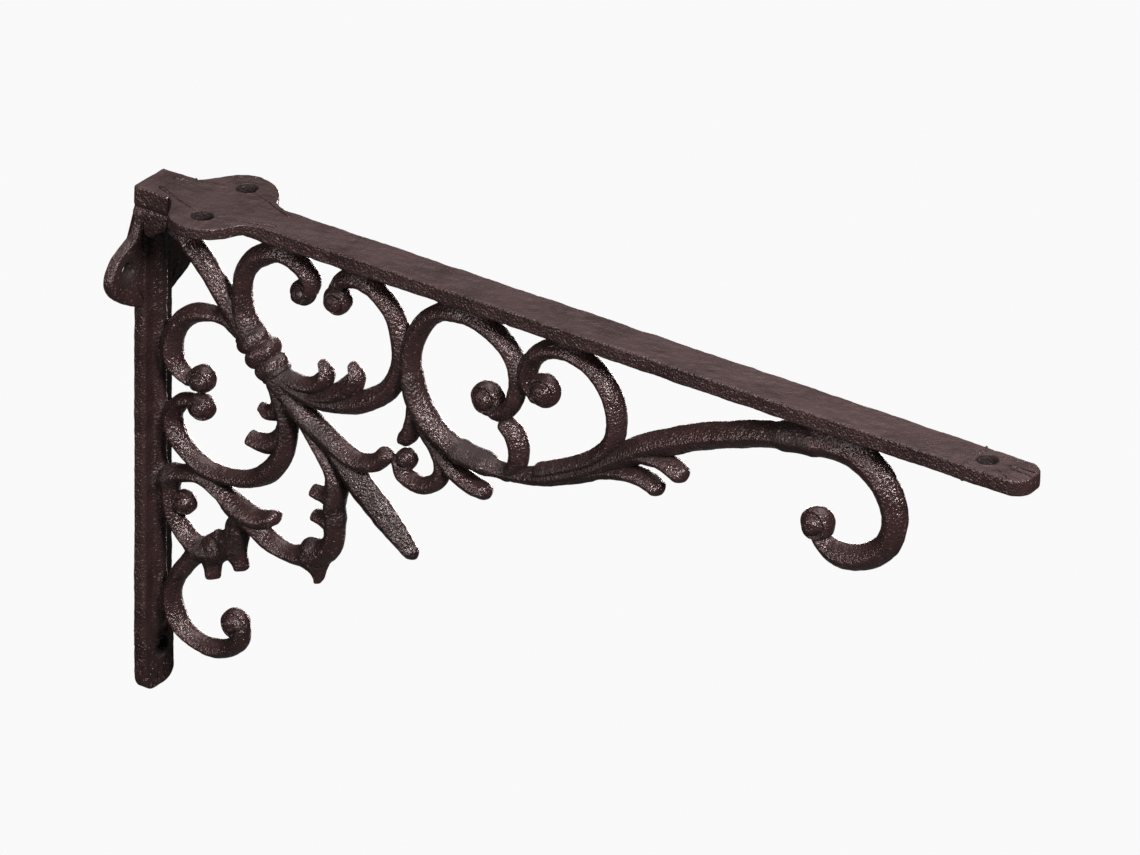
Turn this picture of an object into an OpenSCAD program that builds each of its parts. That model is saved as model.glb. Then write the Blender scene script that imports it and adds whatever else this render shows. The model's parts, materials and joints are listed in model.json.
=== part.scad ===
// Ornamental cast-iron shelf bracket.
// Frame: x = 0 is the wall plane, +X runs out under the shelf, z = 0 is the shelf seat,
// and y = 0 is the plane of symmetry. Millimetres.

/* [Frame] */
// Overall length of the shelf arm, from the wall
arm_length = 281; // [272:1:290]
// Overall height of the wall leg, from the shelf seat
leg_height = 154; // [146:1:160]
// Width of the shelf arm across the bracket
arm_w = 12.4; // [11:0.2:15]
// Thickness of the shelf arm's plate
arm_t = 5; // [4:0.1:5.6]
// Width of the wall leg across the bracket
leg_w = 13.6; // [12:0.2:16]
// Thickness of the wall leg's plate
leg_t = 4; // [3:0.1:5]
// Width of the stiffening rib behind the scrollwork
rib_w = 3.6; // [2.5:0.1:5]
// Depth of the corner block, out from the wall
block_depth = 11.8; // [9:0.2:14]

/* [Screw holes] */
// Diameter of every screw hole
hole_d = 5.6; // [4:0.1:6.4]
// Diameter of the countersink on the wall lugs
countersink_d = 10; // [8:0.2:11]
// Thickness of the two wall lugs
wall_lug_t = 3.5; // [3:0.1:4]
// Thickness of the two shelf lugs
shelf_lug_t = 3.8; // [3:0.1:5]
// Thickness of the pad round the bottom wall hole
pad_t = 4.6; // [4.2:0.1:5.4]

/* [Scrollwork] */
// Thickness of the scroll members across the bracket
scroll_t = 7; // [5:0.2:9]
// Thickness of the small leaves
leaf_t = 5.4; // [4.4:0.2:7]
// Thickness of the middle layer of a scroll or leaf, which has its full width
core_t = 3.2; // [2:0.2:3.6]
// How much narrower a scroll or leaf is at its two faces than in its middle layer
face_inset = 2.6; // [2.2:0.2:2.8]
// Thickness of the volute balls at their middle
ball_t = 7.8; // [6:0.2:9]
// Curve steps between two points of a scroll's centre line
steps = 4; // [3:1:6]

/* [Hidden] */

$fn = 48;
iron = [0.20, 0.15, 0.14];
iron_light = [0.25, 0.19, 0.18];

// How far the stiffening rib stands out from the leg and hangs under the arm
leg_rib_out = 2;
arm_rib_down = 2.5;
// Face of the leg's rib and underside of the arm's rib, where the scrollwork starts
leg_rib_x = leg_t + leg_rib_out;
arm_rib_z = -(arm_t + arm_rib_down);
// Height of the corner block, and where the pad and the arm tip take over
block_h = 14.5;
block_front_h = 9;
pad_h = 19;
tip_len = 19;
// Where the arm's rib stops, short of the tip
rib_end = arm_length - 44;
// First bead of the knuckle, and the width of each of its three beads
knuckle_x = 35.3 * arm_length / 281;
knuckle_z = -38.2 * leg_height / 154;
bead_w = 4.3;
bead_r = 4.4;
middle_bead_r = 5.3;
knuckle_core_r = 3.2;
// Half width of the band across the diagonal that the members beside the knuckle stay out of
knuckle_reach = 9;
// Height of the rim where a volute ball's two domes meet
ball_rim = 2.4;
// Corner radii of the foot pad and the arm tip
pad_round_r = 4.5;
tip_round_r = 5;
// How deep the countersink goes into a wall lug, and how far its cutter runs on past the face
sink_depth = 0.6;
sink_past = 1.2;
// How far a cutting shape runs past what it cuts, and the same for one that clears the whole frame
clear = 1;
far = 30;
// Screw hole centres
wall_hole_y = 12.5;
wall_hole_z = -22.5;
shelf_hole_x = 25.5;
shelf_hole_y = 10;
tip_hole_x = arm_length - 14.5;
foot_hole_z = -(leg_height - 12);

// The scrollwork is laid out for a bracket of 281 by 154 mm and stretched to fit the frame
sx = arm_length / 281;
sz = leg_height / 154;
function fit(path) = [for (p = path) [p[0] * sx, p[1] * sz, p[2]]];

// Centre lines: each point is x, z and the member's width there
strut_path = fit([[6, -8, 6.5], [13, -14, 6.5], [20, -21, 6.5], [27, -29, 6.5], [35.5, -38.6, 6]]);
inner_path = fit([[36, -39, 5.5], [33, -33, 5.5], [31.8, -25, 5.5], [32.6, -18.5, 5.8],
  [36.5, -13, 6], [44, -9.6, 5.4], [51, -11.3, 5.4], [54.6, -15.5, 5], [53.5, -20, 4.4]]);
outer_path = fit([[41, -45.5, 6], [50, -48, 6], [58, -49, 6], [66, -47.5, 6], [74, -44, 6],
  [80, -38.5, 6], [83.3, -31, 5.6], [83.5, -24, 5.4], [81, -16.5, 5.4], [76, -11.6, 5.4],
  [70, -9.8, 5.2], [64.5, -11.3, 5], [61.8, -16, 4.4]]);
outer_near_path = fit([[54.5, -47.5, 4.6], [57.4, -44.2, 5], [58.8, -41.2, 4.4], [58, -39, 2.8]]);
outer_far_path = fit([[63, -47.5, 5.4], [66.8, -43.4, 6], [68.7, -39.6, 5], [68, -37.2, 3]]);
leg_upper_path = fit([[37, -39, 4.5], [31, -35.8, 4.2], [26, -34.4, 4.2], [20, -34.8, 4.6],
  [14.3, -37.4, 5.8], [10.2, -42, 6], [8.4, -48, 5.6], [9.8, -53.5, 5], [14, -57, 4.4]]);
leg_lower_path = fit([[17, -61.8, 4], [11.6, -64.2, 4.8], [8.4, -69.5, 5], [11, -76, 5.2],
  [17, -80.7, 4.8], [25, -82.2, 4.6], [33, -81, 5], [40, -77, 6], [44.8, -70.5, 6.2],
  [46.6, -63, 6], [46, -56, 6], [43, -48, 5.4], [40.6, -43.6, 5]]);
leg_leaf_upper_path = fit([[45.8, -56, 4], [42.8, -57.8, 4.4], [39.2, -58, 3.2]]);
leg_leaf_lower_path = fit([[46, -65.5, 4.8], [42.5, -67.4, 5.6], [38.6, -68.2, 5.6], [35, -68, 4.8]]);
strap_path = fit([[42, -46, 6], [47, -50.5, 6], [53, -55, 6], [59, -59, 6], [65, -62.4, 6],
  [70.5, -63.6, 5.6], [75.5, -62.3, 5.2], [79, -58.6, 5]]);
spear_path = fit([[60, -60.5, 5], [65, -65.5, 7.6], [70.5, -70.5, 8.8], [76.5, -75.8, 8.8],
  [82.5, -81, 7], [88, -86, 4]]);
branch_path = fit([[51, -55, 4], [57, -62, 4.6], [61.8, -68.5, 5.2], [63.4, -74, 5.4], [62, -80.5, 4.2]]);
drop_upper_path = fit([[62.6, -76.8, 4.2], [59, -77.2, 4.4], [55.8, -77.4, 4.2]]);
drop_lower_path = fit([[62.2, -84.6, 4], [58.5, -84.2, 4.4], [56, -84.6, 4]]);
drop_hook_path = fit([[62, -80.5, 4.2], [62.6, -86.5, 5.2], [60.5, -93, 5.8], [55, -97.7, 5.8],
  [47.5, -98.9, 5.2], [40, -96.7, 5], [33.5, -93, 4.5]]);
drop_foot_path = fit([[56.5, -97.5, 6], [57, -101, 5], [56.6, -104.3, 2.6]]);
cross_path = fit([[4.5, -90, 4.6], [8.6, -87.5, 4.6], [13, -85.6, 4.6], [19, -85, 4.6], [25, -87.3, 5],
  [31.5, -90.7, 5.6], [37.5, -91.5, 5.4], [43.2, -89.3, 3.6]]);
ring_path = fit([[7.7, -88, 4.6], [8.1, -94.5, 4.6], [10.4, -101, 5], [14.5, -105.3, 5.2],
  [20, -107, 5.2], [26, -105, 5.2], [30.2, -99.5, 5.2], [31, -93, 4.8]]);
thorn_left_path = fit([[29.6, -100.4, 4], [27, -101.2, 4.2], [24.5, -101, 3.2]]);
thorn_right_path = fit([[28.9, -102.6, 5], [30, -105.2, 5.8], [31.2, -108, 4.8]]);
thorn_middle_path = fit([[22.2, -107, 6.4], [21.8, -110.4, 5.4], [22, -114, 4.4]]);
toe_path = fit([[18, -107.5, 5], [14, -112.8, 5.2], [10, -118.8, 5.2], [8.4, -125, 5.2],
  [10.2, -131, 5], [15, -135, 4.6], [21, -136.3, 4.6], [27, -135, 4.8], [31.5, -131.3, 4.8],
  [32.2, -127, 4.4]]);
round_path = fit([[113.5, -35.2, 4.2], [118.6, -32, 4.8], [121, -26, 5.2], [120.5, -19.5, 5.4],
  [117, -14, 5.4], [111, -10.4, 5.4], [103.5, -9.4, 5.2], [96, -11, 5.2], [90.4, -16.2, 5.2],
  [87.2, -24, 5.2], [87, -32, 5.2], [89.6, -40, 5.4], [95, -46, 5.4], [102, -49.8, 5.2],
  [110, -51, 5]]);
neck_path = fit([[121, -50, 6], [121.3, -44, 5.8], [119.8, -39.6, 5.4], [117, -36.6, 4.6]]);
oval_path = fit([[126.5, -26.5, 4.2], [124.2, -21.5, 5], [125.6, -15.5, 5.2], [130.5, -11.2, 5.2],
  [138, -10, 5.2], [145.5, -12.4, 5.4], [150.6, -18.4, 5.4], [152.6, -26, 5.6], [151, -33, 5.8],
  [146, -38.5, 5.4], [138, -43, 5], [129, -47, 4.6]]);
tail_path = fit([[106, -50.8, 4.8], [114, -51.6, 5], [123, -51, 5], [132, -48.3, 6], [142, -43.6, 7],
  [152, -37, 7.6], [161, -30.6, 7.4], [171, -25.2, 7.2], [181, -20.8, 7.2], [191, -17.2, 7],
  [201, -14.4, 6.6], [211, -12.4, 6]]);
tail_upper_path = fit([[158, -32.6, 4.6], [163, -32.4, 5], [168.4, -32.8, 5], [173, -34.4, 5.2]]);
tail_lower_path = fit([[148.5, -40, 4.4], [154.5, -39.4, 4.8], [160.5, -39, 4.8], [165.8, -40.8, 4.8]]);
hook_path = fit([[211, -12.4, 6], [220, -11.6, 6.4], [228.5, -13.4, 7], [235.5, -18.2, 7.2], [239, -26, 7.2],
  [237.8, -33.4, 7], [233, -38.8, 7], [226.5, -41.6, 7], [220, -41.4, 6.6], [215.5, -38, 5.4]]);
sprig_stem_path = fit([[87.6, -39, 4.4], [88, -44, 5], [87, -49, 5.2], [84.8, -52, 4.6]]);
sprig_path = fit([[91.5, -46, 4.6], [95.5, -51.5, 4.6], [97.3, -57, 4.6], [95.2, -61.8, 4.6],
  [90, -64.3, 4.4], [85, -62.8, 4.4], [83.4, -59.5, 4.2], [84.6, -56.8, 4]]);
petal_path = fit([[95, -50.5, 4], [100, -55.6, 5], [106, -58.7, 5.4], [110.8, -59.6, 5]]);

// Volute balls: x, z and radius
inner_at = [51.4 * sx, -18.9 * sz, 3.6];
outer_at = [62.6 * sx, -17.9 * sz, 3.9];
leg_upper_at = [18.2 * sx, -55.5 * sz, 3.9];
leg_lower_at = [18.3 * sx, -63.9 * sz, 3.9];
small_at = [12.8 * sx, -94.6 * sz, 3.2];
toe_at = [29.6 * sx, -126 * sz, 4];
round_at = [111.4 * sx, -31.6 * sz, 4.8];
oval_at = [129.4 * sx, -23.7 * sz, 4.6];
end_at = [215.6 * sx, -35 * sz, 4.6];
sprig_at = [85.6 * sx, -58 * sz, 2.9];

// Catmull-Rom curve through the points of a centre line
function ease(a, b, c, d, t) =
  (2 * b + (c - a) * t + (2 * a - 5 * b + 4 * c - d) * t * t + (3 * b - a - 3 * c + d) * t * t * t) / 2;
function smooth(path) = let (last = len(path) - 1)
  [for (i = [0:last - 1]) for (k = [0:steps - 1])
      ease(path[max(i - 1, 0)], path[i], path[i + 1], path[min(i + 2, last)], k / steps),
    path[last]];

// Heading of the curve at one point, and the edge half a width to one side of it
function heading(curve, i) = let (a = curve[max(i - 1, 0)], b = curve[min(i + 1, len(curve) - 1)])
  atan2(b[1] - a[1], b[0] - a[0]);
function edge(curve, side) = [for (i = [0:len(curve) - 1]) let (turn = heading(curve, i))
  [curve[i][0] - side * sin(turn) * curve[i][2] / 2, curve[i][1] + side * cos(turn) * curve[i][2] / 2]];
function reversed(list) = [for (i = [len(list) - 1:-1:0]) list[i]];

// A centre line made narrower by $inset, the width that the layer being drawn has lost
function slim(path) = [for (p = path) [p[0], p[1], max(p[2] - $inset, 0.4 * p[2])]];

// Outline of a member, square at both ends
module strip(path) {
  curve = smooth(slim(path));
  polygon(concat(edge(curve, 1), reversed(edge(curve, -1))));
}

// Outline of a leaf: a strip whose far end is a half circle
module leaf_outline(path) {
  curve = smooth(slim(path));
  tip = curve[len(curve) - 1];
  turn = heading(curve, len(curve) - 1);
  cap = [for (a = [75:-15:-75]) [tip[0] + tip[2] / 2 * cos(turn + a), tip[1] + tip[2] / 2 * sin(turn + a)]];
  polygon(concat(edge(curve, 1), cap, reversed(edge(curve, -1))));
}

module disc(at) translate([at[0], at[1]]) circle(r = at[2]);

// The square that the knuckle's beads take up: the members beside it stop at its two end planes
module knuckle_zone() translate([knuckle_x, knuckle_z]) rotate(-45) translate([-bead_w / 2, -knuckle_reach])
  square([3 * bead_w, 2 * knuckle_reach]);

// Everything the frame fills: the wall side of the leg's rib and the top of the arm's rib
module frame_outline() {
  translate([-far, -leg_height - far]) square([far + leg_rib_x, leg_height + 2 * far]);
  translate([-far, arm_rib_z]) square([arm_length + 2 * far, far]);
}

// A flat outline stood up in the plane of the bracket, thick across it
module upright(thick) rotate([90, 0, 0]) linear_extrude(height = thick, center = true) children();

// A middle layer at full width between two narrower face layers
module layered(thick) {
  upright(core_t) {
    $inset = 0;
    children();
  }
  for (side = [0, 1]) mirror([0, side, 0]) rotate([90, 0, 0]) translate([0, 0, core_t / 2])
    linear_extrude(height = (thick - core_t) / 2) {
      $inset = face_inset;
      children();
    }
}

// A member: its outline less the frame and less the outlines given as children
module member(path, thick = scroll_t) layered(thick) difference() {
  strip(path);
  frame_outline();
  children();
}

module leaf(path, thick = leaf_t) layered(thick) difference() {
  leaf_outline(path);
  frame_outline();
  children();
}

// A volute ball: a lens whose two domed faces meet in a narrow rim
module ball(at) {
  thick = min(ball_t, 2 * at[2]);
  rise = (thick - ball_rim) / 2;
  dome_r = (at[2] * at[2] + rise * rise) / (2 * rise);
  translate([at[0], 0, at[1]]) intersection() {
    rotate([90, 0, 0]) cylinder(r = at[2], h = thick, center = true);
    translate([0, dome_r - thick / 2, 0]) sphere(r = dome_r);
    translate([0, thick / 2 - dome_r, 0]) sphere(r = dome_r);
  }
}

// A bead with a round rim, across the diagonal
module bead(along, radius) translate([0, 0, along]) rotate_extrude() {
  translate([radius - bead_w / 2, 0]) circle(d = bead_w);
  translate([0, -bead_w / 2]) square([radius - bead_w / 2, bead_w]);
}

module block_outline()
  polygon([[0, 0], [block_depth, 0], [block_depth, -block_front_h], [leg_rib_x, -block_h], [0, -block_h]]);

module corner_block() color(iron_light) upright(leg_w) block_outline();

module wall_leg() color(iron) {
  length = leg_height - pad_h - block_h;
  translate([0, -leg_w / 2, -block_h - length]) cube([leg_t, leg_w, length]);
  translate([0, -rib_w / 2, -block_h - length]) cube([leg_rib_x, rib_w, length]);
}

module foot_pad() color(iron) difference() {
  translate([0, 0, -leg_height]) rotate([90, 0, 90]) linear_extrude(height = pad_t) {
    translate([-leg_w / 2, pad_round_r]) square([leg_w, pad_h - pad_round_r]);
    translate([pad_round_r - leg_w / 2, 0]) square([leg_w - 2 * pad_round_r, pad_h]);
    for (side = [-1, 1]) translate([side * (leg_w / 2 - pad_round_r), pad_round_r]) circle(r = pad_round_r);
  }
  translate([-clear, 0, foot_hole_z]) rotate([0, 90, 0]) cylinder(d = hole_d, h = pad_t + 2 * clear);
}

// One wall lug, on the +Y side, with a countersunk hole along X
module wall_lug() difference() {
  root = leg_w / 2;
  rotate([90, 0, 90]) linear_extrude(height = wall_lug_t) difference() {
    polygon([for (p = smooth([[root - 3, -11], [root, -13.2], [13, -15.2], [17.5, -18], [20.4, -23],
      [19, -28], [14, -32.3], [root, -36], [root - 3, -37.5]])) [p[0], p[1]]]);
    translate([-far, -2 * far]) square([far + root, 2 * far]);
  }
  translate([0, wall_hole_y, wall_hole_z]) rotate([0, 90, 0]) {
    translate([0, 0, -clear]) cylinder(d = hole_d, h = wall_lug_t + 2 * clear);
    translate([0, 0, wall_lug_t - sink_depth])
      cylinder(d1 = hole_d, d2 = countersink_d, h = sink_depth + sink_past);
  }
}

module wall_lug_left() color(iron) wall_lug();
module wall_lug_right() color(iron) mirror([0, 1, 0]) wall_lug();

module shelf_arm() color(iron_light) {
  translate([block_depth, -arm_w / 2, -arm_t]) cube([arm_length - tip_len - block_depth, arm_w, arm_t]);
  translate([block_depth, -rib_w / 2, arm_rib_z]) cube([rib_end - block_depth, rib_w, -arm_rib_z]);
}

module arm_tip() color(iron_light) difference() {
  translate([arm_length - tip_len, -arm_w / 2, -arm_t]) linear_extrude(height = arm_t) {
    square([tip_len - tip_round_r, arm_w]);
    translate([0, tip_round_r]) square([tip_len, arm_w - 2 * tip_round_r]);
    for (y = [tip_round_r, arm_w - tip_round_r])
      translate([tip_len - tip_round_r, y]) circle(r = tip_round_r);
  }
  translate([tip_hole_x, 0, -arm_t - clear]) cylinder(d = hole_d, h = arm_t + 2 * clear);
}

// One shelf lug, on the +Y side, with a hole along Z
module shelf_lug() difference() {
  root = arm_w / 2;
  translate([0, 0, -shelf_lug_t]) linear_extrude(height = shelf_lug_t) difference() {
    polygon([for (p = smooth([[10, root - 3], [13, root], [15.5, 10.5], [18.5, 15.8], [24, 18],
      [30, 16.6], [34.2, 12.8], [37, 8.2], [41, root], [45, root - 3]])) [p[0], p[1]]]);
    translate([0, -far]) square([2 * far, far + root]);
    translate([-far, 0]) square([far + block_depth, leg_w / 2]);
  }
  translate([shelf_hole_x, shelf_hole_y, -shelf_lug_t - clear])
    cylinder(d = hole_d, h = shelf_lug_t + 2 * clear);
}

module shelf_lug_left() color(iron_light) shelf_lug();
module shelf_lug_right() color(iron_light) mirror([0, 1, 0]) shelf_lug();

// The diagonal strut springs from under the corner block and ends at the knuckle
module diagonal_strut() color(iron) member(strut_path) {
  block_outline();
  knuckle_zone();
}

// Three beads side by side on the diagonal, with a core that fills the grooves between them
module knuckle() color(iron) translate([knuckle_x, 0, knuckle_z]) rotate([0, 135, 0]) {
  bead(0, bead_r);
  bead(bead_w, middle_bead_r);
  bead(2 * bead_w, bead_r);
  cylinder(r = knuckle_core_r, h = 2 * bead_w);
}

module inner_scroll() color(iron) member(inner_path) {
  knuckle_zone();
  strip(strut_path);
  disc(inner_at);
}

module inner_ball() color(iron) ball(inner_at);

module spear_strap() color(iron) member(strap_path) knuckle_zone();

module outer_scroll() color(iron) member(outer_path) {
  knuckle_zone();
  strip(strap_path);
  disc(outer_at);
}

module outer_ball() color(iron) difference() {
  ball(outer_at);
  ball(inner_at);
}

module outer_leaf_near() color(iron) leaf(outer_near_path) strip(outer_path);
module outer_leaf_far() color(iron) leaf(outer_far_path) strip(outer_path);

module leg_scroll_upper() color(iron) member(leg_upper_path) {
  knuckle_zone();
  strip(strut_path);
  strip(inner_path);
  disc(leg_upper_at);
}

module leg_ball_upper() color(iron) ball(leg_upper_at);

module leg_scroll_lower() color(iron) member(leg_lower_path) {
  knuckle_zone();
  strip(strap_path);
  strip(outer_path);
  strip(leg_upper_path);
  disc(leg_upper_at);
  disc(leg_lower_at);
}

module leg_ball_lower() color(iron) difference() {
  ball(leg_lower_at);
  ball(leg_upper_at);
}

module leg_leaf_upper() color(iron) leaf(leg_leaf_upper_path) strip(leg_lower_path);
module leg_leaf_lower() color(iron) leaf(leg_leaf_lower_path) strip(leg_lower_path);

module spear_tip() color(iron) leaf(spear_path, scroll_t) strip(strap_path);

module drop_branch() color(iron) member(branch_path) {
  strip(strap_path);
  leaf_outline(spear_path);
  strip(leg_lower_path);
}

module drop_leaf_upper() color(iron) leaf(drop_upper_path) strip(branch_path);

module drop_leaf_lower() color(iron) leaf(drop_lower_path) strip(drop_hook_path);

module drop_hook() color(iron) member(drop_hook_path) {
  strip(branch_path);
  strip(cross_path);
}

module drop_foot() color(iron) leaf(drop_foot_path) strip(drop_hook_path);

module cross_strap() color(iron) member(cross_path) strip(leg_lower_path);

module small_ring() color(iron) member(ring_path) {
  strip(cross_path);
  strip(drop_hook_path);
  disc(small_at);
}

module small_ball() color(iron) ball(small_at);

module thorn_left() color(iron) leaf(thorn_left_path) strip(ring_path);

module thorn_right() color(iron) leaf(thorn_right_path) strip(ring_path);

module thorn_middle() color(iron) leaf(thorn_middle_path) {
  strip(ring_path);
  strip(toe_path);
}

module toe_scroll() color(iron) member(toe_path) {
  strip(ring_path);
  disc(toe_at);
}

module toe_ball() color(iron) ball(toe_at);

module round_scroll() color(iron) member(round_path) {
  strip(outer_path);
  disc(round_at);
}

module round_ball() color(iron) ball(round_at);

module tail_bar() color(iron) member(tail_path) strip(round_path);

module neck_leaf() color(iron) leaf(neck_path) {
  strip(tail_path);
  strip(round_path);
}

module oval_scroll() color(iron) member(oval_path) {
  strip(round_path);
  strip(tail_path);
  leaf_outline(neck_path);
  disc(oval_at);
}

module oval_ball() color(iron) ball(oval_at);

module tail_leaf_upper() color(iron) leaf(tail_upper_path) strip(tail_path);

module tail_leaf_lower() color(iron) leaf(tail_lower_path) strip(tail_path);

module end_hook() color(iron) member(hook_path) {
  strip(tail_path);
  disc(end_at);
}

module end_ball() color(iron) ball(end_at);

module sprig_stem() color(iron) leaf(sprig_stem_path) {
  strip(outer_path);
  strip(round_path);
}

module sprig_loop() color(iron) member(sprig_path) {
  strip(round_path);
  leaf_outline(sprig_stem_path);
  strip(strap_path);
  disc(sprig_at);
}

module sprig_ball() color(iron) ball(sprig_at);

module drop_petal() color(iron) leaf(petal_path) {
  strip(round_path);
  strip(tail_path);
  strip(sprig_path);
}

corner_block();
wall_leg();
foot_pad();
wall_lug_left();
wall_lug_right();
shelf_arm();
arm_tip();
shelf_lug_left();
shelf_lug_right();
diagonal_strut();
knuckle();
inner_scroll();
inner_ball();
outer_scroll();
outer_ball();
outer_leaf_near();
outer_leaf_far();
leg_scroll_upper();
leg_ball_upper();
leg_scroll_lower();
leg_ball_lower();
leg_leaf_upper();
leg_leaf_lower();
spear_strap();
spear_tip();
drop_branch();
drop_leaf_upper();
drop_leaf_lower();
drop_hook();
drop_foot();
cross_strap();
small_ring();
small_ball();
thorn_left();
thorn_right();
thorn_middle();
toe_scroll();
toe_ball();
round_scroll();
round_ball();
neck_leaf();
oval_scroll();
oval_ball();
tail_bar();
tail_leaf_upper();
tail_leaf_lower();
end_hook();
end_ball();
sprig_stem();
sprig_loop();
sprig_ball();
drop_petal();
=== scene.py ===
"""Ornamental cast-iron shelf bracket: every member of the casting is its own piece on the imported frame.

Tables and functions work in millimetres in the frame's axes (x out from the wall, y across, z up),
and the meshes are written in metres.
"""

import json
import math

import bpy
import numpy as np
from mathutils import Matrix, Vector

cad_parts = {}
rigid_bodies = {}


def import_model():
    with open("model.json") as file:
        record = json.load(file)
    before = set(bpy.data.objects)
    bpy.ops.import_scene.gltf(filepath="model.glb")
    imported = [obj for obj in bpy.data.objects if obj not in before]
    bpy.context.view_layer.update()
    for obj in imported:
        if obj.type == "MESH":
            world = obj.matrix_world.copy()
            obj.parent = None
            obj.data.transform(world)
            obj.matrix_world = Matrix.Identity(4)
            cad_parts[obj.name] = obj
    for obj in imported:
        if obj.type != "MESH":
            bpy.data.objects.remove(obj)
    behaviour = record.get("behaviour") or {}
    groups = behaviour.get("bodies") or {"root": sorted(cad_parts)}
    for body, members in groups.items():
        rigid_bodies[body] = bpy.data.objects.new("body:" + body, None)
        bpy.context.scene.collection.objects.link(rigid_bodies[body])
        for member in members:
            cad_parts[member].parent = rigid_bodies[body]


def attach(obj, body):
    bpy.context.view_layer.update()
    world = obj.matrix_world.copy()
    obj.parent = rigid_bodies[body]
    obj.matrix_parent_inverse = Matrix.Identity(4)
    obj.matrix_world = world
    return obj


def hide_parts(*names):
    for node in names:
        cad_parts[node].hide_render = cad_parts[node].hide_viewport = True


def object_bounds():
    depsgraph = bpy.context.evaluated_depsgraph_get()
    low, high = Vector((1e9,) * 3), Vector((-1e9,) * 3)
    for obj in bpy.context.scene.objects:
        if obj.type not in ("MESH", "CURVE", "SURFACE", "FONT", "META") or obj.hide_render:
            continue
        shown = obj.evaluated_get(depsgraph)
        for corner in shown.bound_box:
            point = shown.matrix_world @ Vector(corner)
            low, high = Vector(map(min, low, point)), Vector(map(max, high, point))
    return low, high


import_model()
cad_low, cad_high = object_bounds()

MM = 0.001
TURN = 2 * math.pi
ARM_LENGTH, ARM_WIDTH, ARM_THICK, ARM_RIB_Z = 281.0, 12.4, 5.0, -7.5
LEG_HEIGHT, LEG_WIDTH, LEG_THICK, LEG_RIB_X = 154.0, 13.6, 4.0, 6.0
RIB_WIDTH, TIP_LENGTH, PAD_HEIGHT = 3.6, 19.0, 19.0
HALF_ARM, HALF_LEG, HALF_RIB = ARM_WIDTH / 2, LEG_WIDTH / 2, RIB_WIDTH / 2
WALL_LUG_THICK, SHELF_LUG_THICK, PAD_THICK = 3.5, 3.8, 4.6
HOLE_R, COUNTERSINK_R = 2.8, 5.2
# the knuckle: x and z of its first bead, a bead's width, and the radii of the core and the three beads
KNUCKLE, BEAD, CORE_R, BEAD_RADII = (35.3, -38.2), 4.3, 3.9, (4.7, 5.6, 4.7)
# rings in a rounded end, and in a bar's flat end, and the step between a bar's rings
DOME_RINGS, CAP_RINGS, BAR_STEP = 8, 5, 0.6
# the least and most of its thickness that a member has, as its width changes
THINNEST, THICKEST = 0.3, 1.06
# how far a neighbour fills a corner, and how far from it the paint is darkened as painted shade
FILLET_REACH, SHADE_REACH, FAR_AWAY = 2.6, 1.5, 9.0
RIDGE_GAIN, RIDGE_FLOOR = 1.3, 0.02
# the upward part of a normal at which a skin starts to count as level, and the rest of the way
LEVEL_START, LEVEL_SPAN = 0.75, 0.2
# the painted shade on a hole's wall and on its lips, standing in for the dark of the hole's depth
BORE_SHADE, LIP_SHADE = 1.3, 0.5
# how far inwards the frame's skin is set, in sums of its two ripples' sizes
INWARD_SHIFT = 1.6
POINTS_AT_A_TIME = 20000
random_waves = np.random.default_rng(41)

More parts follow.
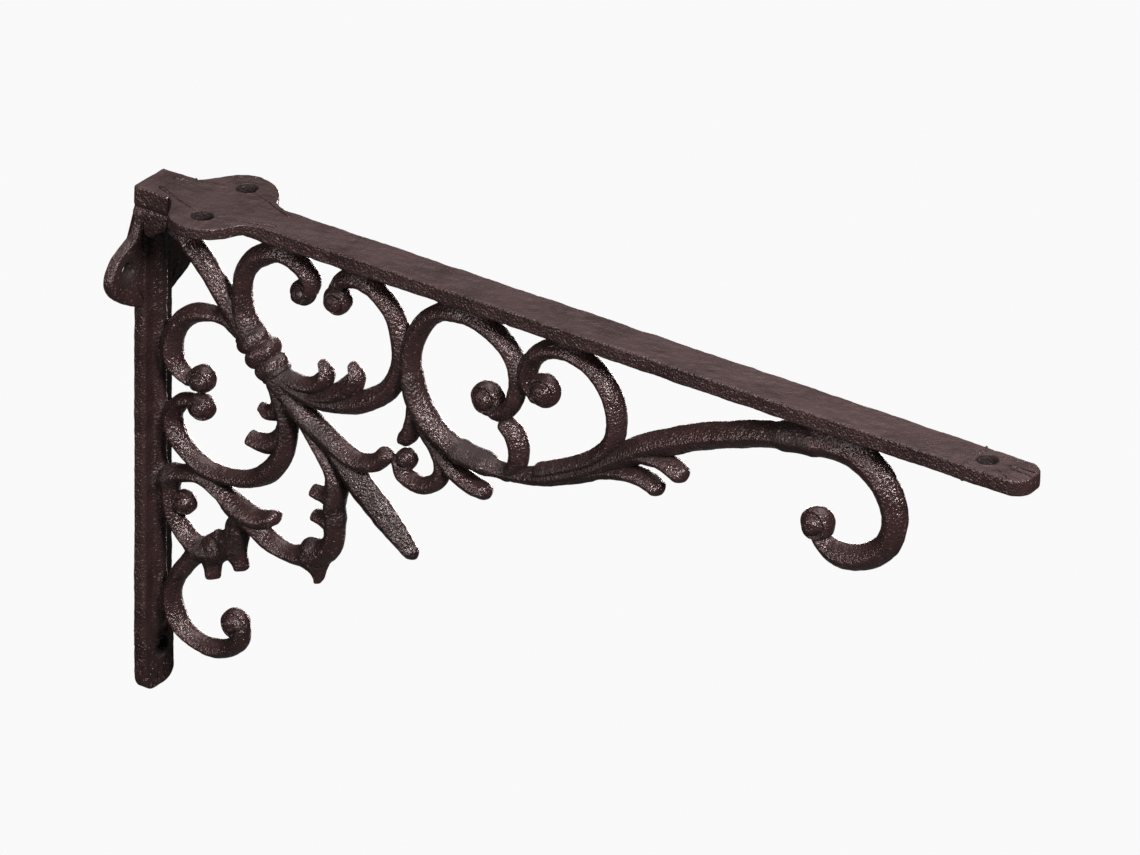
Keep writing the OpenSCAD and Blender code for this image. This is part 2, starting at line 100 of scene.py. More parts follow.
# ---------------------------------------------------------------- centre lines: x, z, width
LINES = {
    "diagonal_strut": [(4, -6, 6.5), (13, -14, 6.5), (20, -21, 6.6), (27, -29, 6.8), (35.5, -38.6, 6)],
    "inner_scroll": [(37, -40.5, 5), (33.2, -33.5, 5.8), (31.8, -25, 5.6), (32.6, -18.5, 5.8), (36.5, -13, 6),
                     (44, -9.6, 5.6), (51, -11.3, 5.6), (54.2, -15.3, 5), (53, -19, 4)],
    "outer_scroll": [(40, -44.5, 6), (50, -48.2, 6), (58, -49.2, 6), (66, -47.7, 6), (74, -44, 6), (80, -38.5, 6),
                     (83.3, -31, 5.6), (83.5, -24, 5.4), (81, -16.5, 5.4), (76, -11.6, 5.6), (70, -9.8, 5.4),
                     (64.5, -11.3, 5), (61.6, -15.6, 4)],
    "outer_leaf_near": [(41, -43.6, 2.8), (46, -45.6, 3.6), (51.5, -46.4, 4.8), (55.8, -45.4, 5.6),
                        (58.4, -42.9, 5.4), (59, -40.3, 3.8), (57.6, -38, 1.6)],
    "outer_leaf_far": [(43, -45.6, 2.8), (50, -48, 3.6), (57, -48.2, 5), (63.2, -45.8, 6.4), (67.3, -42, 6.4),
                       (68.9, -38.5, 4.4), (67.6, -35.8, 1.8)],
    "leg_scroll_upper": [(38, -39.6, 4.5), (31, -35.8, 4.4), (26, -34.4, 4.4), (20, -34.8, 4.8),
                         (14.3, -37.4, 5.8), (10.2, -42, 6), (8.4, -48, 5.6), (9.8, -53.5, 5), (14.4, -56.6, 4)],
    "leg_scroll_lower": [(16.6, -62.4, 4), (11.6, -64.2, 4.8), (8.4, -69.5, 5), (11, -76, 5.2), (17, -80.7, 4.9),
                         (25, -82.2, 4.8), (33, -81, 5.1), (40, -77, 6), (44.8, -70.5, 6.2), (46.6, -63, 6),
                         (46, -56, 6), (43, -48, 5.4), (40.6, -42.6, 4.6)],
    "leg_leaf_upper": [(41.2, -45.5, 2.6), (43.2, -50, 3.6), (44.2, -54.4, 5.2), (43, -57.2, 5.6),
                       (40.8, -58.2, 4.8), (38.6, -57.6, 3)],
    "leg_leaf_lower": [(42.6, -47, 2.6), (45, -52.5, 3.4), (46, -58.5, 4.6), (45, -64, 5.8), (42, -67.2, 6.2),
                       (38.4, -68.2, 5.8), (35, -67.9, 5)],
    "spear_strap": [(40, -43.6, 5.6), (47, -50.5, 6), (53, -55, 6), (59, -59, 6.2), (65, -62.4, 6.2),
                    (70.5, -63.6, 5.6), (75.5, -62.3, 5.2), (78.6, -59.2, 4.8)],
    "spear_tip": [(56, -57, 3.6), (60, -60.5, 5), (65, -65.3, 7.4), (70.5, -70.5, 8.8), (76.5, -75.8, 8.6),
                  (82.5, -81, 7.2), (87.4, -85.3, 5)],
    "drop_branch": [(49, -52.4, 3), (52.5, -56.6, 4), (57, -62, 4.6), (61.8, -68.5, 5.4), (63.4, -74, 5.6),
                    (62, -80.5, 4.2)],
    "drop_leaf_upper": [(62.6, -72.5, 3), (61.6, -76.4, 4.4), (58.6, -77.3, 4.5), (55.9, -77.2, 4.1)],
    "drop_leaf_lower": [(63.4, -82.6, 3.6), (61.6, -84.4, 4.4), (58.5, -84.5, 4.4), (56.2, -84.4, 4)],
    "drop_hook": [(62, -78.5, 4), (62.6, -85.5, 5.4), (60.9, -92.6, 6.2), (55, -97.4, 6.4), (47.5, -98.7, 5.6),
                  (40, -96.7, 5.2), (33.5, -93, 4.6), (28.5, -90.6, 4)],
    "drop_foot": [(55.2, -95.2, 7), (56.6, -99.6, 6), (57, -102.6, 3.8), (56.8, -104, 2.4)],
    "cross_strap": [(3.6, -90.4, 4.4), (8.6, -87.5, 4.6), (13, -85.6, 4.6), (19, -85, 4.6), (25, -87.3, 5),
                    (31.5, -90.7, 5.8), (37.5, -91.5, 5.4), (42.4, -89.7, 4)],
    "small_ring": [(7.7, -87, 4.4), (8.1, -94.5, 4.6), (10.4, -101, 5), (14.5, -105.3, 5.2), (20, -107, 5.2),
                   (26, -105, 5.2), (30.2, -99.5, 5.2), (31, -92.5, 4.6)],
    "thorn_left": [(31, -97.5, 4), (29.2, -100, 4.4), (26.6, -101.2, 4.4), (24.3, -100.8, 3.2)],
    "thorn_right": [(29.4, -97, 6), (29.6, -101.6, 6.6), (30.4, -105.2, 6), (31.6, -108.6, 5)],
    "thorn_middle": [(22.6, -104.6, 7), (21.8, -109.4, 6), (22, -114, 4.6)],
    "toe_scroll": [(20.5, -105.8, 4), (17, -108.9, 5), (13.4, -113.4, 5.2), (10, -118.8, 5.2), (8.4, -125, 5.2),
                   (10.2, -131, 5), (15, -135, 4.8), (21, -136.3, 4.8), (27, -135, 4.9), (31.3, -131.2, 4.8),
                   (32, -127.6, 4)],
    "round_scroll": [(113.9, -34.8, 4), (118.6, -32, 4.8), (121, -26, 5.2), (120.5, -19.5, 5.4), (117, -14, 5.5),
                     (111, -10.4, 5.5), (103.5, -9.4, 5.3), (96, -11, 5.3), (90.4, -16.2, 5.3), (87.2, -24, 5.3),
                     (87, -32, 5.3), (89.6, -40, 5.5), (95, -46, 5.6), (102, -49.8, 5.4), (111, -51.2, 5)],
    "neck_leaf": [(118, -52, 4.6), (121, -48.6, 5.8), (121.4, -43.4, 5.9), (119.8, -39.4, 5.6),
                  (117.2, -37.4, 5)],
    "oval_scroll": [(127, -26.3, 4), (124.2, -21.5, 5), (125.6, -15.5, 5.3), (130.5, -11.2, 5.3), (138, -10, 5.3),
                    (145.5, -12.4, 5.5), (150.6, -18.4, 5.5), (152.6, -26, 5.7), (151, -33, 6), (146, -38.5, 5.6),
                    (138, -43.4, 5), (129, -47.6, 4.6)],
    "tail_bar": [(104, -50.2, 4.8), (114, -51.6, 5), (123, -50.8, 5.4), (132, -48.1, 6.2), (142, -43.4, 7),
                 (152, -36.8, 7.6), (161, -30.6, 7.6), (171, -25.2, 7.4), (181, -20.6, 7.6), (191, -16.9, 7.6),
                 (201, -13.8, 7.6), (213, -11.6, 7)],
    "tail_leaf_upper": [(139, -46.3, 3.6), (146, -41.4, 4.4), (152.4, -36.4, 4.8), (158, -33.4, 5),
                        (163.4, -32.4, 5.2), (168.6, -32.8, 5.3), (172.6, -34.3, 5.2)],
    "tail_leaf_lower": [(128, -50.4, 3.4), (136, -47.6, 4), (143, -43.9, 4.4), (149.6, -41, 4.6),
                        (155.4, -39.4, 4.9), (161, -39.3, 5), (165.4, -40.7, 4.8)],
    "end_hook": [(206, -12.9, 6.6), (213, -11.4, 7.8), (221, -10.8, 8.8), (229.3, -12.2, 9.8), (236, -17.4, 8.6),
                 (239.2, -25.6, 7.6), (237.8, -33.4, 7.2), (233, -38.8, 7.2), (226.5, -41.6, 7.2),
                 (220, -41.2, 6.6), (215.9, -37.8, 4.8)],
    "sprig_stem": [(86.6, -33, 3), (87.8, -39, 4.2), (88, -44, 5.2), (87, -49, 5.4), (85, -51.9, 4.6)],
    "sprig_loop": [(88.5, -40, 3), (91.5, -46, 4.6), (95.5, -51.5, 4.8), (97.3, -57, 4.8), (95.2, -61.8, 4.8),
                   (90, -64.3, 4.6), (85, -62.8, 4.5), (83.4, -59.5, 4)],
    "drop_petal": [(90.5, -43.5, 3), (95, -50.5, 4.4), (100, -55.4, 5.4), (106, -58.6, 5.8), (110.4, -59.6, 5.2)],
}
# thickness across the bracket, and the section's roundness: 2 is an ellipse, less has a crest along its middle
THICK = dict.fromkeys(LINES, (7.4, 1.55))
THICK.update({
    "diagonal_strut": (7.6, 1.5), "spear_tip": (7.4, 1.35), "tail_bar": (7.8, 1.45), "end_hook": (7.8, 1.5),
    "outer_leaf_near": (7.0, 1.45), "outer_leaf_far": (7.2, 1.4), "leg_leaf_upper": (6.6, 1.5),
    "leg_leaf_lower": (6.8, 1.5), "drop_leaf_upper": (6.0, 1.5), "drop_leaf_lower": (6.0, 1.6),
    "thorn_left": (5.6, 1.6), "thorn_right": (6.0, 1.5), "thorn_middle": (6.2, 1.5),
    "tail_leaf_upper": (6.8, 1.6), "tail_leaf_lower": (6.6, 1.6), "neck_leaf": (6.8, 1.6),
    "drop_petal": (6.6, 1.5), "drop_foot": (6.4, 1.5), "sprig_stem": (6.6, 1.45), "sprig_loop": (6.4, 1.7),
})
# leaves that keep a crease where they lie against their stem, instead of a cast fillet
CREASED = {
    "outer_leaf_near": ("outer_scroll", "outer_leaf_far", "spear_strap"),
    "outer_leaf_far": ("outer_scroll", "outer_leaf_near", "spear_strap"),
    "outer_scroll": ("outer_leaf_near", "outer_leaf_far", "spear_strap", "leg_scroll_lower"),
    "leg_leaf_upper": ("leg_scroll_lower", "leg_leaf_lower"),
    "leg_leaf_lower": ("leg_scroll_lower", "leg_leaf_upper"),
    "leg_scroll_lower": ("leg_leaf_upper", "leg_leaf_lower", "outer_scroll", "spear_strap"),
    "tail_leaf_upper": ("tail_bar", "tail_leaf_lower", "oval_scroll"),
    "tail_leaf_lower": ("tail_bar", "tail_leaf_upper", "oval_scroll"),
    "tail_bar": ("tail_leaf_upper", "tail_leaf_lower", "neck_leaf", "oval_scroll"),
    "oval_scroll": ("tail_bar", "tail_leaf_upper", "tail_leaf_lower"),
    "neck_leaf": ("tail_bar", "round_scroll"),
    "drop_petal": ("sprig_loop", "round_scroll"),
    "sprig_loop": ("drop_petal", "sprig_stem", "round_scroll"),
    "sprig_stem": ("sprig_loop", "round_scroll"),
    "spear_tip": ("spear_strap", "drop_branch"),
    "spear_strap": ("spear_tip", "outer_scroll", "leg_scroll_lower"),
    "drop_branch": ("spear_tip", "spear_strap"),
}
# volute balls: the member that winds into the ball and whether that is its first or last point, then x, z, radius
# and thickness
BALLS = {
    "inner_ball": ("inner_scroll", -1, 51.4, -18.9, 3.7, 7.8),
    "outer_ball": ("outer_scroll", -1, 62.6, -17.9, 3.9, 7.8),
    "leg_ball_upper": ("leg_scroll_upper", -1, 18.2, -55.5, 3.9, 7.8),
    "leg_ball_lower": ("leg_scroll_lower", 0, 18.3, -63.9, 3.9, 7.8),
    "small_ball": ("small_ring", 0, 12.8, -94.6, 3.3, 6.4), "toe_ball": ("toe_scroll", -1, 29.6, -126, 4.1, 7.8),
    "round_ball": ("round_scroll", 0, 111.4, -31.6, 4.8, 8.2),
    "oval_ball": ("oval_scroll", 0, 129.4, -23.7, 4.6, 8.0), "end_ball": ("end_hook", -1, 215.6, -35, 4.7, 8.4),
    "sprig_ball": ("sprig_loop", -1, 85.6, -58, 3.0, 5.8),
}


def waves(count, shortest, longest):
    """Plane waves in random directions, with wavelengths spread evenly in their logarithm, and a random phase each."""
    way = random_waves.normal(size=(count, 3))
    way /= np.linalg.norm(way, axis=1, keepdims=True)
    length = np.exp(random_waves.uniform(math.log(shortest), math.log(longest), count))
    return way * (TURN / length)[:, None], random_waves.uniform(0, TURN, count)


SWELL = waves(26, 7.0, 24.0)
LUMPS = waves(44, 1.7, 4.6)


def ripple(points, wave_set):
    """The sum of cos(k . p + phase) over the waves, over the square root of half their number: mostly within 2 of 0."""
    way, phase = wave_set
    return np.cos(points @ way.T + phase).sum(-1) / math.sqrt(len(phase) / 2)


def centre_line(points, spacing=0.55):
    """Catmull-Rom curve. Between b and c, with neighbours a and d, it is
    (2b + (c - a) t + (2a - 5b + 4c - d) t^2 + (3b - a - 3c + d) t^3) / 2, sampled at equal steps of its length."""
    p = np.asarray(points, float)
    a, b, c, d = np.vstack([p[:1], p[:-2]]), p[:-1], p[1:], np.vstack([p[2:], p[-1:]])
    t = np.linspace(0, 1, 24, endpoint=False)[None, :, None]
    a, b, c, d = (q[:, None, :] for q in (a, b, c, d))
    curve = (2 * b + (c - a) * t + (2 * a - 5 * b + 4 * c - d) * t**2 + (3 * b - a - 3 * c + d) * t**3) / 2
    curve = np.vstack([curve.reshape(-1, p.shape[1]), p[-1:]])
    run = np.concatenate([[0], np.cumsum(np.linalg.norm(np.diff(curve[:, :2], axis=0), axis=1))])
    stations = np.linspace(0, run[-1], max(int(run[-1] / spacing), 8) + 1)
    return np.stack([np.interp(stations, run, column) for column in curve.T], 1)


CURVES = {name: centre_line(points) for name, points in LINES.items()}
# members whose far end is blunter than a round dome: how many half widths it reaches
BLUNT = {
    "leg_leaf_lower": 0.5, "drop_leaf_upper": 0.6, "drop_leaf_lower": 0.6, "thorn_right": 0.35,
    "thorn_middle": 0.35, "cross_strap": 0.6, "neck_leaf": 0.7,
}


def member_rings(curve, thick, roundness, blunt=1.0, around=44):
    """Sections along a centre line, each the superellipse (w/2 |cos a|^(2/p), thick/2 |sin a|^(2/p)) with p the
    roundness, square to the line. Past each end the section shrinks as sqrt(1 - t^2) while it moves on by t half
    widths, times blunt at the far end, so an end is a dome."""
    way = np.gradient(curve[:, :2], axis=0)
    way /= np.linalg.norm(way, axis=1, keepdims=True)
    t = np.sin(np.linspace(0, math.pi / 2, DOME_RINGS + 1))[1:]
    shrink = np.sqrt(np.clip(1 - t**2, 0, 1))
    head = curve[0, :2] - way[0] * (t[:, None] * curve[0, 2] / 2)
    tail = curve[-1, :2] + way[-1] * (t[:, None] * curve[-1, 2] / 2 * blunt)
    centre = np.vstack([head[::-1], curve[:, :2], tail])
    way = np.vstack([np.tile(way[0], (len(t), 1)), way, np.tile(way[-1], (len(t), 1))])
    width = np.concatenate([curve[0, 2] * shrink[::-1], curve[:, 2], curve[-1, 2] * shrink])
    depth = np.concatenate([shrink[::-1], np.ones(len(curve)), shrink]) * thick
    # where a member is narrower than its median width, it is thinner too
    depth *= np.clip(THINNEST + (1 - THINNEST) * width / np.median(curve[:, 2]), THINNEST, THICKEST)
    angle = np.linspace(0, TURN, around, endpoint=False)
    power = 2 / roundness
    out = np.sign(np.cos(angle)) * np.abs(np.cos(angle)) ** power
    across = np.sign(np.sin(angle)) * np.abs(np.sin(angle)) ** power
    x = centre[:, :1] - way[:, 1:] * width[:, None] / 2 * out
    z = centre[:, 1:] + way[:, :1] * width[:, None] / 2 * out
    return np.stack([x, depth[:, None] / 2 * across, z], -1)


def ball_rings(x, z, radius, thick, turn, start, around=84):
    """A lens r = R sin(f)^0.72, y = -thick/2 cos(f), with a groove on both faces along the spiral
    r = R (0.86 - 0.33 q), q running from 0 to one and a quarter turns from the starting angle."""
    bulge, outermost, tightening, groove_width, groove_depth = 0.72, 0.86, 0.33, 0.15, 0.42
    laps, fade_out = 1.25, 0.35
    f = np.linspace(0, math.pi, 52)[:, None]
    a = np.linspace(0, TURN, around, endpoint=False)[None, :]
    r = radius * np.sin(f) ** bulge + 0 * a
    y = -thick / 2 * np.cos(f) + 0 * a
    swept = np.mod(turn * (a - start), TURN) / TURN
    dip = np.zeros_like(r)
    for lap in (0, 1):
        q = swept + lap
        fade = np.clip((laps - q) / fade_out, 0, 1)
        spiral = radius * (outermost - tightening * q)
        dip = np.maximum(dip, fade * np.exp(-(((r - spiral) / (groove_width * radius)) ** 2)))
    y *= 1 - groove_depth * dip * np.clip(np.abs(np.cos(f)) * 3, 0, 1)
    return np.stack([x + r * np.cos(a), y, z + r * np.sin(a)], -1)


def knuckle_rings(around=72):
    """Three beads turned round the diagonal: at distance t along it the radius is the largest of the core's and each
    bead's R - b/2 + sqrt((b/2)^2 - (t - c)^2). At angle a round it the radius also swells, by the shares
    0.05 cos(5a + 0.55t) and 0.025 cos(3a - 0.9t), as shallow lobes that wind round. Both ends are domes 1 mm long."""
    t = np.linspace(-BEAD / 2, 2.5 * BEAD, 78)
    radius = np.full_like(t, CORE_R)
    for index, bead_r in enumerate(BEAD_RADII):
        inside = np.clip((BEAD / 2) ** 2 - (t - index * BEAD) ** 2, 0, None)
        radius = np.maximum(radius, np.where(inside > 0, bead_r - BEAD / 2 + np.sqrt(inside), 0))
    step = np.linspace(0, 1, 7)[1:]
    close = np.sqrt(np.clip(1 - step**2, 0, 1))
    radius = np.concatenate([radius[0] * close[::-1], radius, radius[-1] * close])
    t = np.concatenate([t[0] - step[::-1], t, t[-1] + step])
    a = np.linspace(0, TURN, around, endpoint=False)[None, :]
    lobes = 1 + 0.05 * np.cos(5 * a + 0.55 * t[:, None]) + 0.025 * np.cos(3 * a - 0.9 * t[:, None])
    ring = radius[:, None] * lobes
    along = t[:, None] / math.sqrt(2)
    side = ring * np.cos(a) / math.sqrt(2)
    return np.stack([KNUCKLE[0] + along + side, ring * np.sin(a), KNUCKLE[1] - along + side], -1)


def rounded_loop(corners, radii, spacing=0.5):
    """A closed outline with each corner rounded by an arc that touches both its sides: nine points on each arc, and
    equal steps along the sides, with one more point close to each end of a side."""
    close_by = 0.08
    p = np.asarray(corners, float)
    before, after = np.roll(p, 1, 0) - p, np.roll(p, -1, 0) - p
    before /= np.linalg.norm(before, axis=1, keepdims=True)
    after /= np.linalg.norm(after, axis=1, keepdims=True)
    half = np.arccos(np.clip((before * after).sum(1), -1, 1)) / 2
    reach = np.asarray(radii, float) / np.tan(half)
    middle = before + after
    middle /= np.linalg.norm(middle, axis=1, keepdims=True)
    centre = p + middle * (np.asarray(radii, float) / np.sin(half))[:, None]
    start, end = p + before * reach[:, None] - centre, p + after * reach[:, None] - centre
    turn = np.arctan2(start[:, 0] * end[:, 1] - start[:, 1] * end[:, 0], (start * end).sum(1))
    first = np.arctan2(start[:, 1], start[:, 0])
    sweep = first[:, None] + turn[:, None] * np.linspace(0, 1, 9)
    size = np.linalg.norm(start, axis=1)[:, None]
    arc = centre[:, None, :] + np.stack([size * np.cos(sweep), size * np.sin(sweep)], -1)
    following = np.roll(arc[:, 0], -1, 0)
    sides = []
    for corner, start, end in zip(arc, arc[:, -1], following):
        count = max(int(np.linalg.norm(end - start) / spacing), 1)
        share = np.concatenate([[close_by / count], np.arange(1, count) / count, [1 - close_by / count]])
        sides += [corner, start + (end - start) * share[:, None]]
    return np.concatenate(sides)


def even_loop(points, spacing=0.5):
    """A closed outline sampled at equal steps of its length."""
    closed = np.vstack([points, points[:1]])
    run = np.concatenate([[0], np.cumsum(np.linalg.norm(np.diff(closed, axis=0), axis=1))])
    count = int(run[-1] / spacing)
    at = np.linspace(0, run[-1], count, endpoint=False)
    return np.stack([np.interp(at, run, column) for column in closed.T], 1)


def outward(loop):
    """The outward normal of an outline at each of its points, whichever way round it runs."""
    way = np.roll(loop, -1, 0) - np.roll(loop, 1, 0)
    normal = np.stack([way[:, 1], -way[:, 0]], 1)
    normal /= np.linalg.norm(normal, axis=1, keepdims=True)
    area = (loop[:, 0] * np.roll(loop[:, 1], -1) - np.roll(loop[:, 0], -1) * loop[:, 1]).sum()
    return normal * math.copysign(1, area)


def plate_rings(loop, low, high, edge, place, centre, hole=None, spacing=0.6):
    """An outline carried across a plate from level low to level high. The edges follow a quarter circle of radius edge,
    and each face closes in straight lines towards the centre, to a point or to the hole. hole gives (level, radius)
    pairs down the hole's wall, and its rings then run on to meet the first ring."""
    almost_out = 0.985
    normal = outward(loop)
    quarter = np.linspace(0, math.pi / 2, 8)
    sides = max(int((high - low - 2 * edge) / spacing), 1) + 1
    inset = np.concatenate([edge * (1 - np.sin(quarter)), np.zeros(sides)[1:-1], edge * (1 - np.sin(quarter[::-1]))])
    level = np.concatenate([low + edge * (1 - np.cos(quarter)), np.linspace(low + edge, high - edge, sides)[1:-1],
                            high - edge * (1 - np.cos(quarter[::-1]))])
    rim = loop[None] - normal[None] * inset[:, None, None]
    wall = np.concatenate([rim, np.broadcast_to(level[:, None, None], rim.shape[:2] + (1,))], -1)
    centre = np.asarray(centre, float)
    spoke = loop - centre
    reach = np.linalg.norm(spoke, axis=1, keepdims=True)
    steps = max(int(np.median(reach) / spacing), 4)
    blend = np.append(np.linspace(0, 1, steps + 1)[:-1], [almost_out, 1])[:, None, None]

    def face(outer, at, inner):
        """Rings at one level, from an inner outline straight out to the outer one."""
        rings = inner[None] + (outer[None] - inner[None]) * blend
        return np.concatenate([rings, np.full(rings.shape[:2] + (1,), float(at))], -1)

    if hole is None:
        inner = np.broadcast_to(centre, loop.shape)
        rings = [face(rim[0], low, inner)[:-1], wall, face(rim[-1], high, inner)[:-1][::-1]]
    else:
        hole = np.asarray(hole, float)
        circle = spoke / reach
        lip_low, lip_high = centre + circle * hole[0, 1], centre + circle * hole[-1, 1]
        down = centre + circle[None] * hole[::-1, 1, None, None]
        bore = np.concatenate([down, np.broadcast_to(hole[::-1, 0, None, None], down.shape[:2] + (1,))], -1)
        rings = [face(rim[0], low, lip_low)[:-1], wall, face(rim[-1], high, lip_high)[:-1][::-1], bore[1:-1]]
    rings = np.concatenate(rings)
    return place(rings[..., 0], rings[..., 1], rings[..., 2])


def bar_rings(loop, stations, place):
    """An outline carried along a straight bar through the stations, closed at both ends towards its middle."""
    middle = (loop.min(0) + loop.max(0)) / 2
    closing = np.linspace(0, 1, CAP_RINGS + 1)[:-1, None, None]
    cap = middle + (loop[None] - middle) * closing
    body = np.broadcast_to(loop[None], (len(stations),) + loop.shape)
    flat = np.concatenate([cap, body, cap[::-1]])
    along = np.concatenate([np.full(CAP_RINGS, stations[0]), stations, np.full(CAP_RINGS, stations[-1])])
    return place(flat[..., 0], flat[..., 1], along[:, None] + 0 * flat[..., 0])


def grid_normals(rings, joined):
    """The unit cross product of the grid's two central differences, which points outwards once the rings are turned
    so that they hold a positive volume. Where rings close to a point it is the mean of the next ring's."""
    round_way = np.roll(rings, -1, 1) - np.roll(rings, 1, 1)
    if joined:
        along = np.roll(rings, -1, 0) - np.roll(rings, 1, 0)
    else:
        along = np.gradient(rings, axis=0) * 2
    normal = np.cross(round_way, along)
    normal /= np.linalg.norm(normal, axis=2, keepdims=True) + 1e-12
    if not joined:
        for end, beside in ((0, 1), (-1, -2)):
            mean = normal[beside].mean(0)
            normal[end] = mean / (np.linalg.norm(mean) + 1e-12)
    return normal


def volume_of(rings, joined):
    """Six times the volume that the rings enclose, with its sign: the sum of p . (round step x along step)."""
    closed = np.concatenate([rings, rings[:1]]) if joined else rings
    a, b, c = closed[:-1], np.roll(closed[:-1], -1, 1), closed[1:]
    d = np.roll(closed[1:], -1, 1)
    return (np.cross(b, c) * a).sum() + (np.cross(d, c) * b).sum()


def distance_to_curve(points, curve, thick):
    """How far points lie outside a member: in units of its half width in the plane and its half thickness across it,
    the length of the step to the nearest centre point, less 1, times the half width."""
    flat = points[..., [0, 2]].reshape(-1, 2)
    near = np.empty(len(flat))
    width = np.empty(len(flat))
    for first in range(0, len(flat), POINTS_AT_A_TIME):
        lot = slice(first, first + POINTS_AT_A_TIME)
        gap = ((flat[lot, None] - curve[None, :, :2]) ** 2).sum(-1)
        best = gap.argmin(1)
        near[lot] = np.sqrt(gap[np.arange(len(best)), best])
        width[lot] = curve[best, 2]
    half = width / 2
    q = np.sqrt((near / half) ** 2 + (points[..., 1].reshape(-1) / (thick / 2)) ** 2)
    return ((q - 1) * half).reshape(points.shape[:-1])


def distance_to_block(points, low, high):
    """The distance from points to a box: the length of max(|p - middle| - half its size, 0)."""
    low, high = np.asarray(low, float), np.asarray(high, float)
    return np.linalg.norm(np.maximum(np.abs(points - (low + high) / 2) - (high - low) / 2, 0), axis=-1)


# the frame's bars, their ribs and the corner block as boxes that the members are filleted into: low and high corners
FRAME_BLOCKS = (
    ((0, -HALF_LEG, -LEG_HEIGHT), (LEG_THICK, HALF_LEG, 0)),
    ((LEG_THICK, -HALF_RIB, -150), (LEG_RIB_X, HALF_RIB, -10)),
    ((0, -HALF_ARM, -ARM_THICK), (ARM_LENGTH, HALF_ARM, 0)),
    ((10, -HALF_RIB, ARM_RIB_Z), (237, HALF_RIB, -ARM_THICK)),
    ((0, -HALF_LEG, -13), (11, HALF_LEG, 0)),
)


def beside(points, name):
    """The shortest distance to the members that the piece is filleted into, and to all the members beside it."""
    margin = 3
    low, high = points.reshape(-1, 3).min(0) - margin, points.reshape(-1, 3).max(0) + margin
    fillet = np.full(points.shape[:-1], FAR_AWAY)
    crease = fillet.copy()
    for other, curve in CURVES.items():
        if other == name or (curve[:, 0].max() < low[0] - margin or curve[:, 0].min() > high[0] + margin
                             or curve[:, 1].max() < low[2] - margin or curve[:, 1].min() > high[2] + margin):
            continue
        gap = distance_to_curve(points, curve, THICK[other][0])
        crease = np.minimum(crease, gap)
        if other not in CREASED.get(name, ()):
            fillet = np.minimum(fillet, gap)
    if name in LINES or name == "knuckle":
        for low_corner, high_corner in FRAME_BLOCKS:
            gap = distance_to_block(points, low_corner, high_corner)
            fillet, crease = np.minimum(fillet, gap), np.minimum(crease, gap)
    return fillet, crease


def cast(name, rings, joined=False, swell=0.1, lumps=0.035, fillet=0.75, inward=False, bored=0):
    """Turns rings into the casting's skin and adds it as a mesh. Each point moves along its normal by swell and lumps
    times two ripples, plus fillet (1 - d / FILLET_REACH)^2 near a neighbour, as a cast corner is filled. With inward,
    the ripples only ever move it in. It is kept inside the CAD's box. Three attributes are kept for the paint: ridge,
    how much the skin bulges; the painted shade, how near a neighbour is, which darkens the paint in the creases
    between members; and level, 1 where the skin faces up. The last bored rings are a hole's wall, and get the most
    painted shade, for the dark of the hole's depth."""
    if volume_of(rings, joined) < 0:
        rings = rings[:, ::-1]
    normal = grid_normals(rings, joined)
    near, crease = beside(rings, name)
    move = swell * ripple(rings, SWELL) + lumps * ripple(rings, LUMPS)
    if inward:
        move = np.minimum(move - INWARD_SHIFT * (swell + lumps), 0)
    grow = fillet * np.clip(1 - np.maximum(near, 0) / FILLET_REACH, 0, 1) ** 2
    skin = rings + normal * (move + grow)[..., None]
    if not joined:
        skin[0], skin[-1] = skin[0].mean(0), skin[-1].mean(0)
    skin = np.clip(skin, np.array(cad_low) / MM, np.array(cad_high) / MM)
    bulge = (np.roll(skin, 1, 1) + np.roll(skin, -1, 1)) / 2 - skin
    size = np.linalg.norm(np.roll(skin, -1, 1) - skin, axis=-1) ** 2 + RIDGE_FLOOR
    ridge = np.clip(-(bulge * normal).sum(-1) / size * RIDGE_GAIN, 0, 1)
    # painted shade: the paint darkens near a neighbour, where shade falls in the creases between members
    seam = np.clip(1 - np.abs(crease) / SHADE_REACH, 0, 1)
    level = np.clip((normal[..., 2] - LEVEL_START) / LEVEL_SPAN, 0, 1)
    # a hole's wall gets the most painted shade, and its lips some
    if bored:
        seam[-bored:], seam[0], seam[-bored - 1] = BORE_SHADE, LIP_SHADE, LIP_SHADE
    m, n = rings.shape[:2]
    i = np.arange(n)
    if joined:
        points, kept = skin.reshape(-1, 3), [values.reshape(-1) for values in (ridge, seam, level)]
        first = (np.arange(m)[:, None] * n + i).reshape(-1)
        after = (np.arange(m)[:, None] * n + np.roll(i, -1)).reshape(-1)
        up = np.roll(first.reshape(m, n), -1, 0).reshape(-1)
        up_after = np.roll(after.reshape(m, n), -1, 0).reshape(-1)
        quads, fans = np.stack([first, after, up_after, up], 1), np.empty((0, 3), int)
    else:
        points = np.vstack([skin[1:-1].reshape(-1, 3), skin[0, :1], skin[-1, :1]])
        kept = [np.concatenate([values[1:-1].reshape(-1), values[[0, -1], 0]]) for values in (ridge, seam, level)]
        rows = np.arange(m - 3)[:, None] * n
        first, after = (rows + i).reshape(-1), (rows + np.roll(i, -1)).reshape(-1)
        quads = np.stack([first, after, after + n, first + n], 1)
        last = (m - 3) * n
        start_fan = np.stack([np.full(n, (m - 2) * n), np.roll(i, -1), i], 1)
        end_fan = np.stack([np.full(n, (m - 2) * n + 1), last + i, last + np.roll(i, -1)], 1)
        fans = np.vstack([start_fan, end_fan])
    mesh = bpy.data.meshes.new(name + "_skin")
    mesh.from_pydata((points * MM).tolist(), [], quads.tolist() + fans.tolist())
    mesh.polygons.foreach_set("use_smooth", np.ones(len(mesh.polygons), bool))
    for label, values in zip(("ridge", "seam", "level"), kept):
        mesh.attributes.new(label, "FLOAT", "POINT").data.foreach_set("value", values.astype(np.float32))
    mesh.update()
    piece = bpy.data.objects.new("cast_" + name, mesh)
    bpy.context.scene.collection.objects.link(piece)
    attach(piece, "root")
    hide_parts(name)


